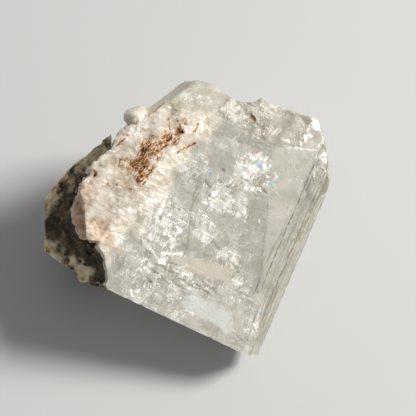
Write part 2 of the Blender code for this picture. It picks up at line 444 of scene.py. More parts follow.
# Cracks and flakes just under the broad and frosted faces, seen from above (mm), each with its
# half-width and strength; below zero they are dark, above one solid white with a painted highlight.
FRACTURES = [
    ([(-5.0, -1.0), (-3.0, -1.4)], 0.28, 0.8),
    ([(-3.8, -2.9), (-2.9, -1.7)], 0.33, 1.0),
    ([(-5.5, -3.1), (-4.3, -2.3)], 0.21, 0.7),
    ([(-5.2, -3.8), (-3.2, -4.9)], 0.21, 0.7),
    ([(-3.5, -4.0), (-2.3, -3.2)], 0.23, 0.8),
    ([(-2.0, -2.0), (-0.8, -2.5)], 0.21, 0.6),
    ([(-1.3, -3.3), (0.5, -3.4)], 0.24, 0.55),
    ([(-4.2, -5.5), (-2.5, -6.2)], 0.23, 0.8),
    ([(-3.0, -6.0), (-1.0, -5.1)], 0.23, 0.9),
    ([(-5.0, -4.9), (-3.7, -4.1)], 0.19, 0.7),
    ([(-2.9, -7.1), (-0.6, -6.8)], 0.24, 1.35),
    ([(7.0, 3.2), (8.3, 4.1), (9.3, 4.9)], 0.19, 1.4),
    ([(6.9, 4.4), (8.6, 4.3)], 0.14, 1.35),
    ([(-3.7, -2.8), (-3.1, -1.9)], 0.15, 1.35),
    ([(-4.4, -6.7), (-3.7, -7.6)], 0.12, 1.35),
    ([(4.7, -1.0), (5.3, -0.1)], 0.13, 1.35),
    ([(-2.9, -7.7), (-0.0, -7.0)], 0.21, 0.7),
    ([(-4.5, -6.6), (-3.5, -7.8)], 0.23, 1.0),
    ([(5.8, 2.1), (8.1, 3.8), (10.4, 5.5)], 0.40, 0.95),
    ([(6.8, 4.5), (9.4, 4.2)], 0.23, 0.8),
    ([(4.3, 1.5), (5.8, 2.5)], 0.23, 0.8),
    ([(7.8, 4.8), (9.4, 6.0)], 0.33, 0.9),
    ([(4.4, -1.3), (5.5, 0.2)], 0.28, 0.9),
    ([(3.5, -1.0), (4.8, -0.1)], 0.19, 0.7),
    ([(2.2, -2.6), (4.0, -2.7)], 0.20, 0.30),
    ([(2.7, -4.6), (3.7, -5.9)], 0.21, 0.5),
    ([(4.8, -6.0), (6.0, -7.0)], 0.19, 0.6),
    ([(-1.2, 4.0), (0.1, 4.0)], 0.35, 0.6),
    ([(5.0, -10.3), (7.3, -8.7)], 0.16, 0.7),
    ([(5.8, -10.1), (7.8, -8.9)], 0.14, 0.6),
    ([(6.8, -10.2), (8.3, -9.3)], 0.16, 0.6),
    ([(7.8, -10.9), (9.0, -11.3)], 0.19, 0.6),
    ([(9.0, -12.7), (9.8, -11.0)], 0.28, 0.7),
    ([(-5.0, -10.1), (-4.2, -11.1)], 0.19, 0.6),
    ([(-2.2, -13.9), (-1.0, -14.4)], 0.28, 0.6),
    ([(1.6, 2.4), (1.0, -0.2), (0.6, -1.9), (0.4, -4.0), (0.1, -6.1)], 0.08, -0.45),
    ([(2.0, 2.4), (1.4, -0.4)], 0.07, -0.35),
    ([(2.5, 2.0), (3.1, 1.2)], 0.15, -0.7),
    ([(4.6, 3.6), (4.8, 3.5)], 0.14, -1.0),
    ([(-0.3, -5.7), (0.2, -6.2)], 0.14, -0.5),
    ([(-3.2, -7.5), (-1.0, -8.3)], 0.10, -0.6),
    ([(-3.7, -8.4), (-1.0, -9.2)], 0.10, -0.55),
    ([(-4.1, -9.1), (-2.9, -9.8)], 0.12, -0.8),
    ([(5.8, 2.2), (7.3, 3.4)], 0.09, -0.6),
    ([(6.3, 1.8), (7.8, 2.9)], 0.09, -0.6),
    ([(9.3, 2.2), (10.1, 1.6)], 0.19, -0.8),
    ([(7.8, 1.0), (10.5, 1.1)], 0.08, -0.3),
    ([(-2.0, -10.0), (-0.0, -10.9)], 0.09, -0.6),
    ([(-0.8, -9.6), (1.7, -10.7)], 0.09, -0.6),
    ([(0.5, -9.7), (3.0, -11.0)], 0.09, -0.6),
    ([(1.7, -9.5), (3.7, -10.7)], 0.09, -0.5),
    ([(5.3, -6.6), (6.5, -7.9)], 0.21, -0.6),
    ([(10.5, 1.1), (9.0, -10.0)], 0.07, -0.35),
    ([(-4.7, -10.3), (-4.3, -10.4)], 0.19, -0.9),
    ([(3.0, -4.6), (5.3, -6.7)], 0.12, -0.4),
    ([(6.8, -6.9), (5.8, -8.8)], 0.12, -0.4),
    ([(-0.8, 1.8), (0.5, 2.5)], 0.28, 0.5),
    ([(-6.7, -8.5), (-5.7, -10.2)], 0.23, 0.5),
    ([(-7.4, -9.5), (-6.9, -10.8)], 0.23, 0.5),
    ([(-3.5, -11.1), (-1.7, -11.5)], 0.21, 0.5),
    ([(0.5, -10.8), (2.2, -11.5)], 0.21, 0.5),
    ([(3.2, -8.7), (4.7, -8.0)], 0.19, 0.3),
    ([(10.4, 8.3), (12.0, 9.7)], 0.35, 0.6),
    ([(14.1, 10.6), (15.4, 9.7)], 0.28, 0.4),
    ([(5.8, 7.4), (7.8, 8.3)], 0.28, 0.5),
    ([(9.4, 6.9), (12.5, 6.5)], 0.19, 0.4),
    ([(-9.4, -11.9), (-3.2, -13.7), (7.8, -17.2)], 0.10, 0.6),
]
# How far the fractures waver to either side of their lines (mm).
SWAY = 0.06


def fractures_over(points):
    """How bright (above zero) or dark (below zero) the fractures are at each place."""
    bright = np.zeros(len(points))
    dark = np.zeros(len(points))
    xs = points[:, 0] + SWAY * np.sin(2.9 * points[:, 1] + 1.3 * points[:, 0])
    ys = points[:, 1] + SWAY * np.sin(3.7 * points[:, 0] - 1.1 * points[:, 1])
    for line, width, strength in FRACTURES:
        gap = line_gap(xs, ys, line) / width
        share = abs(strength) * soft(gap, 1.6, 0.4)
        if strength > 0.0:
            bright = np.maximum(bright, share)
        else:
            dark = np.maximum(dark, share)
    return bright - dark


# The crystal clears just past the ridge between the milky and the broad face (mm from the ridge).
RIDGE_FALL = 0.371
CLEARING_REACH = (0.2, 3.4)
# Clearer windows in the broad face: centre, half-sizes (mm) and turn (degrees), seen from above.
WINDOWS = [
    ((8.9, -1.9), (1.3, 3.4), 0.0),
    ((9.0, -7.0), (0.8, 3.2), 4.0),
    ((8.6, 7.7), (4.2, 1.0), -12.0),
    ((4.7, 4.5), (1.7, 1.2), -22.0),
    ((3.1, -8.3), (2.7, 0.8), -8.0),
    ((2.8, -12.9), (3.0, 1.1), -22.0),
]
# Two of them have a tint: pinkish (above zero) or bluish (below zero).
TINTS = [((3.1, -8.3), (2.9, 0.9), -8.0, 1.0), ((2.8, -12.9), (3.2, 1.2), -22.0, -1.0)]
# Where the crystal is most crazed inside: seen from above, x, y and radius (mm), and how strongly.
CRAZED = [
    (-3.2, -3.0, 3.4, 1.0), (-3.8, -8.0, 2.4, 0.85), (0.5, -10.5, 3.5, 0.6), (2.2, -3.5, 2.3, 0.5),
    (4.3, 0.2, 2.3, 0.75), (8.3, 3.8, 2.7, 1.0), (5.0, -7.0, 2.0, 0.6), (1.5, 3.0, 2.5, 0.5),
    (8.6, -13.5, 2.0, 0.7), (6.5, -10.0, 1.8, 0.6), (-1.0, -13.0, 2.0, 0.5), (7.0, -1.0, 1.6, 0.65),
    (2.5, 8.6, 1.6, 0.5), (-6.5, -10.5, 2.0, 0.5), (11.5, 9.3, 3.6, 0.55), (6.5, 10.5, 2.4, 0.4),
    (0.6, 11.5, 2.6, 0.4), (15.3, 9.8, 2.0, 0.7), (-6.8, -5.8, 2.6, 0.5), (-4.8, -11.6, 2.6, 0.6),
    (-7.4, -9.3, 2.2, 0.5),
]


def crazed_at(place):
    """How crazed the crystal is at a place, from 0 to 1."""
    wobble = 0.35 * noise.noise(place / 0.8)
    best = 0.0
    for x, y, radius, strength in CRAZED:
        gap = math.hypot(place.x - x, place.y - y) / radius
        best = max(best, strength * smooth(gap + wobble, 1.25, 0.5))
    return best


def pane_gap(place, middle, half_sizes, turn):
    """How far out in a four-sided pane a place lies: 0 in its middle and 1 on its edge."""
    t = math.radians(-turn)
    x = place.x - middle[0]
    y = place.y - middle[1]
    u = (x * math.cos(t) - y * math.sin(t)) / half_sizes[0]
    v = (x * math.sin(t) + y * math.cos(t)) / half_sizes[1]
    return max(abs(u), abs(v)) + 0.3 * noise.noise(place / 0.9) + 0.15 * noise.noise(place / 0.3)


def window_at(place):
    """1 inside a clearer window of the broad face."""
    return smooth(min(pane_gap(place, *window) for window in WINDOWS), 1.15, 0.8)


def tint_at(place):
    """Above zero where a window is pinkish, below zero where it is bluish."""
    return sum(way * smooth(pane_gap(place, *pane), 1.15, 0.7) for *pane, way in TINTS)


# The clouds at the border of the clear part: how far they reach and how wide they are (mm).
CLEARING_SWAY = 2.0
CLEARING_CLOUD = 1.9
# How clear the far corner is.
CORNER_CLEARNESS = 0.75


def clearness(place):
    """0 where the crystal is milky and 1 where it is clear inside."""
    x, y, z = place
    across = face_height(MILKY, MILKY_HEIGHT, x, y) - face_height(BROAD, BROAD_HEIGHT, x, y)
    sway = CLEARING_SWAY * noise.noise(place / CLEARING_CLOUD)
    past_ridge = smooth(across / RIDGE_FALL + sway, *CLEARING_REACH)
    return max(past_ridge, CORNER_CLEARNESS * smooth(y, 8.8, 11.0) * smooth(x, -3.5, -1.0))


# The band along the right-hand edge is calm and even.  It widens upwards: its width (mm) at the origin
# and how much it gains per mm along the edge.
BAND_WIDTH = 2.7
BAND_SPREAD = 0.36


def band_at(place):
    """1 on the band along the right-hand edge."""
    along = facing(*BAND).cross(facing(*SIDE)).normalized()
    width = BAND_WIDTH + BAND_SPREAD * place.dot(along)
    return smooth(edge_gap(place), width + 0.2, width - 0.2) * smooth(below_top(place), 1.5, 0.8)


# Pale crusts on the broken left end, real crust with painted light on its lit rims; the rest is dark
# olive glass and brown earth under painted shade.  Each is a line seen from above (mm) with its half-width.
CRUSTS = [
    ([(-18.2, 2.4), (-15.0, 5.0), (-10.0, 9.2)], 1.7),
    ([(-18.6, -3.2), (-16.3, -5.6), (-13.3, -7.6)], 1.5),
    ([(-18.7, 2.4), (-18.7, -3.0)], 0.35),
    ([(-13.0, -9.2), (-9.6, -12.0)], 0.5),
]


def crust_at(place):
    """1 on a pale crust of the broken end, where painted light marks its lit rims."""
    wobble = 0.5 * noise.noise(place / 0.9)
    gaps = [float(line_gap(place.x, place.y, line)) / width for line, width in CRUSTS]
    return smooth(min(gaps) + wobble, 1.2, 0.7)


# Rainbow flashes, painted reflections off thin cracks: seen from above, x, y and radius (mm).
PAINTED_FLASHES = [
    (9.3, 4.7, 0.75), (7.6, 4.0, 0.5), (8.9, 5.9, 0.35), (11.4, 3.5, 0.6), (11.0, 2.6, 0.35),
    (3.0, 3.1, 0.4), (10.2, -12.0, 0.25),
]


def painted_flash_at(place):
    """1 on a painted rainbow flash, a painted reflection."""
    wobble = 0.5 * noise.noise(place / 0.35)
    return max(smooth(math.hypot(place.x - x, place.y - y) / r + wobble, 1.1, 0.5) for x, y, r in PAINTED_FLASHES)


# How much earth has washed off the hidden sides, and how much painted shade is lifted behind.
HIDDEN_WASH = 0.72
PAINTED_SHADE_LIFT_BEHIND = 0.55
# How strongly the ledge, the brink above it and the broken edge blush.
LEDGE_BLUSH = 0.9
BRINK_BLUSH = 0.6
FRINGE_BLUSH = 0.18
# The fractures show from this height up (mm).
SHOWN_FROM = 3.0


def look_of(place, normal, rough):
    """How clear, crazed, earthy, blushed and so on the crystal is at a point."""
    end = end_block(place)
    drop = below_top(place)
    on_top = smooth(drop, 0.8, 0.3)
    seen = smooth(drop, 1.6, 1.0) * smooth(normal.z, 0.1, 0.4)
    glassy_side = 0.6 * (1.0 - rough) * smooth(drop, 1.0, 2.0)
    clear = max(clearness(place) * (1.0 - 0.75 * rough) * seen, glassy_side, 0.2)
    behind = smooth(normal.y - 0.5 * normal.z, 0.2, 0.5)
    under = smooth(normal.z, -0.1, -0.4) * smooth(place.x, -13.0, -10.0)
    crust = crust_at(place) if end > 0.0 else 0.0
    # Painted shade: darker within a short way of the overhanging body edge.
    overhang_shade = smooth(top_tree.find(place)[2], 1.6, 0.5)
    brink = smooth(end_tree.find(place)[2] + 1.2 * noise.noise(place / 0.9), 4.0, 2.4)
    brink = brink * smooth(place.y, 2.0, 0.0) * smooth(place.y, -8.5, -6.0)
    on_ledge = ledge_zone(place) * smooth(place.y, 3.5, 1.5)
    pink = LEDGE_BLUSH * on_ledge + BRINK_BLUSH * brink + FRINGE_BLUSH * fringe_of(place)
    frosted = smooth(place.x, 2.0, 4.5) * smooth(place.y, 3.0, 5.0)
    return {
        "clear": clear * (1.0 - end),
        "window": window_at(place) * on_top,
        "tint": tint_at(place) * on_top,
        "calm": max(band_at(place), smooth(normal.x, 0.6, 0.85) * (1.0 - rough)),
        "crazed": crazed_at(place) * smooth(drop, 2.5, 1.8) * (1.0 - end),
        "earth": end * (1.0 - HIDDEN_WASH * max(behind, under)),
        # Painted shade with the dark grit: dark wherever there is no pale crust, darkest close under the
        # overhang, less behind.
        "grit_and_painted_shade": end * max(1.0 - crust, overhang_shade) * (1.0 - PAINTED_SHADE_LIFT_BEHIND * behind),
        "blush": min(pink, 1.0) * (1.0 - end),
        "frost": rough,
        "grey": rough * frosted * smooth(drop + noise.noise(place / 1.5), 4.5, 2.0),
        "edge": edge_gap(place) * MM,
        "side": smooth(normal.x, 0.45, 0.75) * (1.0 - end),
        # Painted reflection: the rainbow flashes.
        "rainbow": painted_flash_at(place) * on_top,
    }


def paint(mesh):
    """Store on every point how the crystal looks there, for its material."""
    looks = [look_of(vert.co, vert.normal, rough_of[vert.index]) for vert in mesh.vertices]
    masks = {name: [look[name] for look in looks] for name in looks[0]}
    points = np.array([vert.co for vert in mesh.vertices])
    masks["rust"] = rust_over(points)
    masks["mark"] = fractures_over(points) * (points[:, 2] > SHOWN_FROM)
    for name, values in masks.items():
        layer = mesh.attributes.new(name, "FLOAT", "POINT")
        layer.data.foreach_set("value", values)


bm.verts.index_update()
rough_of = [roughness_at(vert) for vert in bm.verts]
weather()
skin = BVHTree.FromBMesh(bm)
crystal_mesh = bpy.data.meshes.new("adularia_crystal_fine")
bm.to_mesh(crystal_mesh)
paint(crystal_mesh)
crystal_mesh.transform(Matrix.Scale(MM, 4))
crystal_mesh.shade_smooth()
crystal_mesh.set_sharp_from_angle(angle=SHARP)
crystal = bpy.data.objects.new("adularia_crystal_fine", crystal_mesh)
bpy.context.scene.collection.objects.link(crystal)


# ---------------------------------------------------------------------------------------------------
# The crystal's substance.  Adularia is a clear to milky potassium feldspar with a glassy skin.  The
# fractures under the skin, the iron stain and the earth cloud it, and are painted where they lie.

# How a value comes in and fades out: softly at both ends.
EASED = {"interpolation_type": "SMOOTHSTEP"}


def linear(code):
    """An sRGB hex colour as linear RGBA."""
    parts = [int(code[i:i + 2], 16) / 255.0 for i in (1, 3, 5)]
    bent = [p / 12.92 if p <= 0.04045 else ((p + 0.055) / 1.055) ** 2.4 for p in parts]
    return (*bent, 1.0)


def add_node(tree, kind, sockets=(), stops=(), **settings):
    """Add a node with its settings.  Its inputs, in order or by name, get values or what feeds them."""
    made = tree.nodes.new("ShaderNode" + kind)
    for name, value in settings.items():
        setattr(made, name, value)
    if stops:
        elements = made.color_ramp.elements
        while len(elements) < len(stops):
            elements.new(0.5)
        for element, (at, code) in zip(elements, stops, strict=True):
            element.position = at
            element.color = linear(code)
    named = sockets if isinstance(sockets, dict) else dict(enumerate(sockets))
    for name, value in named.items():
        if isinstance(value, bpy.types.Node):
            value = next(output for output in value.outputs if output.enabled)
        if isinstance(value, bpy.types.NodeSocket):
            tree.links.new(value, made.inputs[name])
        else:
            made.inputs[name].default_value = value
    return made


def per_mm(size):
    """Texture scale for a pattern that repeats about every so many millimetres."""
    return 1.0 / (size * MM)


def clouds(size, detail, roughness):
    """Settings of a cloudy pattern with features of a size in mm."""
    return {"Scale": per_mm(size), "Detail": detail, "Roughness": roughness}


def warped(tree, place, size, reach):
    """The same place, pushed about by up to so many millimetres."""
    wave = add_node(tree, "TexNoise", {"Vector": place, "Scale": per_mm(size), "Detail": 2.0})
    push = [wave.outputs["Color"], (0.5, 0.5, 0.5)]
    push = add_node(tree, "VectorMath", push, operation="SUBTRACT")
    push = add_node(tree, "VectorMath", {0: push, "Scale": 2.0 * reach * MM}, operation="SCALE")
    return add_node(tree, "VectorMath", [place, push], operation="ADD")


def patches(tree, place, cloud, spread, heights=(0.0, 1.0)):
    """Patches where the clouds pass through a spread of values, from one height to another."""
    pattern = add_node(tree, "TexNoise", {"Vector": place, **cloud})
    return add_node(tree, "MapRange", [pattern, *spread, *heights], **EASED)


def along_way(way, stretch):
    """Settings that draw space out along a bearing and a dip (degrees)."""
    bearing, dip = way
    return {"Rotation": (0.0, math.radians(dip), math.radians(bearing)), "Scale": (stretch, 1.0, 1.0)}


def fibres(tree, place, way, stretch, cloud):
    """Clouds drawn out into fibres along a bearing and a dip (degrees)."""
    drawn = {"Vector": place, **along_way(way, stretch)}
    drawn = add_node(tree, "Mapping", drawn, vector_type="TEXTURE")
    return add_node(tree, "TexNoise", {"Vector": drawn, **cloud})


def shards(tree, place, way, stretch, size, slope):
    """Flat tilted splinters of a size in mm: how far each point stands out (m), and a number for each."""
    drawn = {"Vector": place, **along_way(way, stretch)}
    drawn = add_node(tree, "Mapping", drawn, vector_type="TEXTURE")
    cell = add_node(tree, "TexVoronoi", {"Vector": drawn, "Scale": per_mm(size)})
    gap = add_node(tree, "VectorMath", [drawn, cell.outputs["Position"]], operation="SUBTRACT")
    lean = [cell.outputs["Color"], (0.5, 0.5, 0.5)]
    lean = add_node(tree, "VectorMath", lean, operation="SUBTRACT")
    rise = add_node(tree, "VectorMath", [gap, lean], operation="DOT_PRODUCT")
    number = add_node(tree, "SeparateColor", [cell.outputs["Color"]])
    return add_node(tree, "Math", [rise, 2.0 * slope], operation="MULTIPLY"), number


def threads(tree, value, width):
    """Thin bright lines where a cloudy value passes a half."""
    off = add_node(tree, "Math", [value, 0.5], operation="SUBTRACT")
    off = add_node(tree, "Math", [off], operation="ABSOLUTE")
    return add_node(tree, "MapRange", [off, width, 0.25 * width], **EASED)


# The splinters just under the skin: the bearing and dip that they run along (degrees), how far they
# are drawn out, their width (mm) and their slope.
BIG_SHARDS = ((79.0, -22.0), 1.8, 0.95, 0.21)
SMALL_SHARDS = ((-19.0, 22.0), 2.6, 0.32, 0.25)
# Sets of fine cracks: their bearing and dip, their spacing (mm), and how bright or dark they are.
CRACK_SETS = (
    ((79.0, -22.0), 0.5, 0.8),
    ((-19.0, 22.0), 0.42, 0.8),
    ((46.0, -8.0), 0.36, 0.8),
    ((70.0, -20.0), 0.6, -0.5),
)
CRACK_STRETCH = 7.5
CRACK_WIDTH = 0.035


def crackle(tree, place, crazed, frost):
    """The splintered look of the fractures just under the skin: whiteness from 0 to 1, and relief (m)."""
    bent = warped(tree, place, 2.5, 0.18)
    big_rise, big = shards(tree, bent, *BIG_SHARDS)
    small_rise, small = shards(tree, bent, *SMALL_SHARDS)
    tone = add_node(tree, "Math", [small, 0.4], operation="MULTIPLY")
    tone = add_node(tree, "Math", [big, 0.6, tone], operation="MULTIPLY_ADD")
    facet = add_node(tree, "MapRange", [tone, 0.35, 0.85], **EASED)
    share = add_node(tree, "MapRange", [crazed, 0.0, 1.0, 0.10, 0.48], **EASED)
    haze = patches(tree, place, clouds(2.6, 5.0, 0.65), (0.36, 0.66), (0.0, 0.36))
    white = add_node(tree, "Math", [facet, share, haze], operation="MULTIPLY_ADD")
    for way, size, strength in CRACK_SETS:
        lines = fibres(tree, bent, way, CRACK_STRETCH, clouds(size, 1.5, 0.5))
        lines = threads(tree, lines, CRACK_WIDTH)
        moved = add_node(tree, "VectorMath", [place, (0.0, way[0] * MM, 0.0)], operation="ADD")
        patch = patches(tree, moved, clouds(1.5, 3.0, 0.6), (0.44, 0.60))
        lines = add_node(tree, "Math", [lines, patch], operation="MULTIPLY")
        gain = add_node(tree, "MapRange", [crazed, 0.0, 0.8, 0.3 * strength, strength], **EASED)
        white = add_node(tree, "Math", [lines, gain, white], operation="MULTIPLY_ADD")
    small_share = add_node(tree, "MapRange", [crazed, 0.0, 1.0, 0.18, 1.0], **EASED)
    frosty = add_node(tree, "Math", [frost, 1.6], operation="MULTIPLY")
    small_share = add_node(tree, "Math", [small_share, frosty], operation="MAXIMUM")
    big_share = add_node(tree, "MapRange", [crazed, 0.35, 1.0, 0.15, 1.0], **EASED)
    rise = add_node(tree, "Math", [small_rise, small_share], operation="MULTIPLY")
    rise = add_node(tree, "Math", [big_rise, big_share, rise], operation="MULTIPLY_ADD")
    return add_node(tree, "Math", [white, 0.0], operation="ADD", use_clamp=True), rise


# Which way the right-hand edge runs: its bearing and its dip in degrees.
edge_way = facing(*BAND).cross(facing(*SIDE)).normalized()
EDGE_RUN = (math.degrees(math.atan2(edge_way.y, edge_way.x)), -math.degrees(math.asin(edge_way.z)))
# The lines of growth beside it: how far in each lies, its half-width (mm) and its strength.
GROWTH_LINES = (
    (2.0, 0.13, 1.0), (0.25, 0.12, 0.9), (1.1, 0.08, 0.6), (0.75, 0.06, 0.4), (3.1, 0.06, 0.25),
    (-0.3, 0.10, 0.9), (-0.75, 0.08, 0.7), (-1.1, 0.10, 0.9), (-1.8, 0.10, 0.7), (-2.7, 0.10, 0.7),
)
GROWTH_SWAY = 0.6


def edge_lines(tree, place, gap):
    """Thin lines of growth that run beside the right-hand edge, from 0 to 1."""
    wave = add_node(tree, "TexNoise", {"Vector": place, **clouds(2.5, 3.0, 0.6)})
    wave = add_node(tree, "Math", [wave, 0.5], operation="SUBTRACT")
    at = add_node(tree, "Math", [wave, GROWTH_SWAY * MM, gap], operation="MULTIPLY_ADD")
    total = 0.0
    for where, width, strength in GROWTH_LINES:
        off = add_node(tree, "Math", [at, where * MM], operation="SUBTRACT")
        off = add_node(tree, "Math", [off], operation="ABSOLUTE")
        fall = [off, width * MM, 0.3 * width * MM, 0.0, strength]
        line = add_node(tree, "MapRange", fall, **EASED)
        total = add_node(tree, "Math", [total, line], operation="MAXIMUM")
    broken = patches(tree, place, clouds(0.8, 3.0, 0.7), (0.38, 0.52), (0.25, 1.0))
    total = add_node(tree, "Math", [total, broken], operation="MULTIPLY")
    fine = fibres(tree, place, EDGE_RUN, 9.0, clouds(0.30, 3.0, 0.6))
    fine = threads(tree, fine, 0.045)
    above = add_node(tree, "MapRange", [gap, 2.6 * MM, 0.6 * MM, 0.0, 0.55], **EASED)
    below = add_node(tree, "MapRange", [gap, -6.0 * MM, -1.0 * MM, 0.25, 1.0], **EASED)
    for near in (above, below):
        fine = add_node(tree, "Math", [fine, near], operation="MULTIPLY")
    return add_node(tree, "Math", [total, fine], operation="MAXIMUM")


# The iron stain, from pale ochre through rust to nearly black.
RUST_COLOURS = [(0.0, "#e4d2b6"), (0.28, "#d8b081"), (0.55, "#b37d47"), (0.78, "#7c4b28"), (1.0, "#26160c")]
RUST_WAY = (56.0, 0.0)


def rust_layer(tree, place, amount):
    """The iron stain: its strength broken up into fibres, and its colour."""
    bent = warped(tree, place, 1.0, 0.35)
    fibre = fibres(tree, bent, RUST_WAY, 3.6, clouds(0.19, 4.0, 0.7))
    fibre = add_node(tree, "MapRange", [fibre, 0.34, 0.68, -0.62, 0.32], **EASED)
    blotch = patches(tree, place, clouds(0.9, 3.0, 0.6), (0.35, 0.65), (-0.25, 0.15))
    broken = add_node(tree, "Math", [fibre, blotch], operation="ADD")
    here = add_node(tree, "MapRange", [amount, 0.02, 0.35, 0.15, 1.0], **EASED)
    strength = [broken, here, amount]
    strength = add_node(tree, "Math", strength, operation="MULTIPLY_ADD", use_clamp=True)
    return strength, add_node(tree, "ValToRGB", [strength], RUST_COLOURS)


# The earth on the broken end: pale crust with painted light, and dark olive and brown grit under painted
# shade.
CRUST_COLOURS = [(0.38, "#1d130a"), (0.43, "#8a7350"), (0.50, "#d4c19a"), (0.62, "#f2e6cd")]
PAINTED_SHADE_GRIT_COLOURS = [(0.36, "#0d0803"), (0.48, "#38290f"), (0.58, "#634e2a"), (0.74, "#a48b5a")]


def earth_layer(tree, place, grit_and_painted_shade):
    """Brown and olive earth on the broken end, with painted shade: darkest away from the crust and under
    the overhang.
    """
    bent = warped(tree, place, 1.5, 0.6)
    grit = add_node(tree, "TexNoise", {"Vector": bent, **clouds(2.0, 5.0, 0.62)})
    pale = add_node(tree, "ValToRGB", [grit], CRUST_COLOURS)
    dark = add_node(tree, "ValToRGB", [grit], PAINTED_SHADE_GRIT_COLOURS)
    # Painted shade: the dark grit colours, away from the lit crust.
    return add_node(tree, "Mix", {0: grit_and_painted_shade, 6: pale, 7: dark}, data_type="RGBA")


# The feldspar's own colours, from its darker to its lighter clouds.
CLEAR_COLOURS = [(0.35, "#cccbbf"), (0.5, "#d6d4c9"), (0.65, "#dcdad0")]
MILKY_COLOURS = [(0.36, "#cec4aa"), (0.48, "#e2d5c2"), (0.60, "#f8ebe0")]
BAND_COLOURS = [(0.35, "#c9cabd"), (0.5, "#d9d7cd"), (0.65, "#e2dfd7")]
SIDE_COLOURS = [(0.35, "#979885"), (0.5, "#adae9c"), (0.65, "#c0c0b0")]
FROST_COLOURS = [(0.0, "#9c978b"), (0.35, "#b9b4a9"), (1.0, "#eeeae4")]
PEACH_COLOURS = [(0.36, "#a9754c"), (0.46, "#eab98f"), (0.62, "#fbe6d6")]
# Painted reflection: the rainbow colours of the flashes.
PAINTED_FLASH_COLOURS = [
    (0.38, "#f79ae6"), (0.45, "#fff0bd"), (0.5, "#ffffff"), (0.55, "#8be6fb"), (0.62, "#bfd0fb"),
]
# Which way the bright cracks are torn (degrees).
TORN_WAY = (60.0, -15.0)
# How much calmer the windows and the right-hand band are than the crazed part.
WINDOW_CALM = 0.5
BAND_CALM = 0.85
EARTH_FRAY = 1.6
# How much light goes through the clear part, outside and inside the windows.
THROUGH = (0.48, 0.52)
# On glassy and on frosted skin: how rough it is, and how far its grain stands out (mm).
ROUGHNESS = (0.15, 0.11)
GRAIN_HEIGHTS = (0.02, 0.10)
FELDSPAR_IOR = 1.52
# How far light spreads in the milky part (mm), and how strongly the clear part is tinged.
MILKY_DEPTH = 1.2
TINGE_DENSITY = 25.0


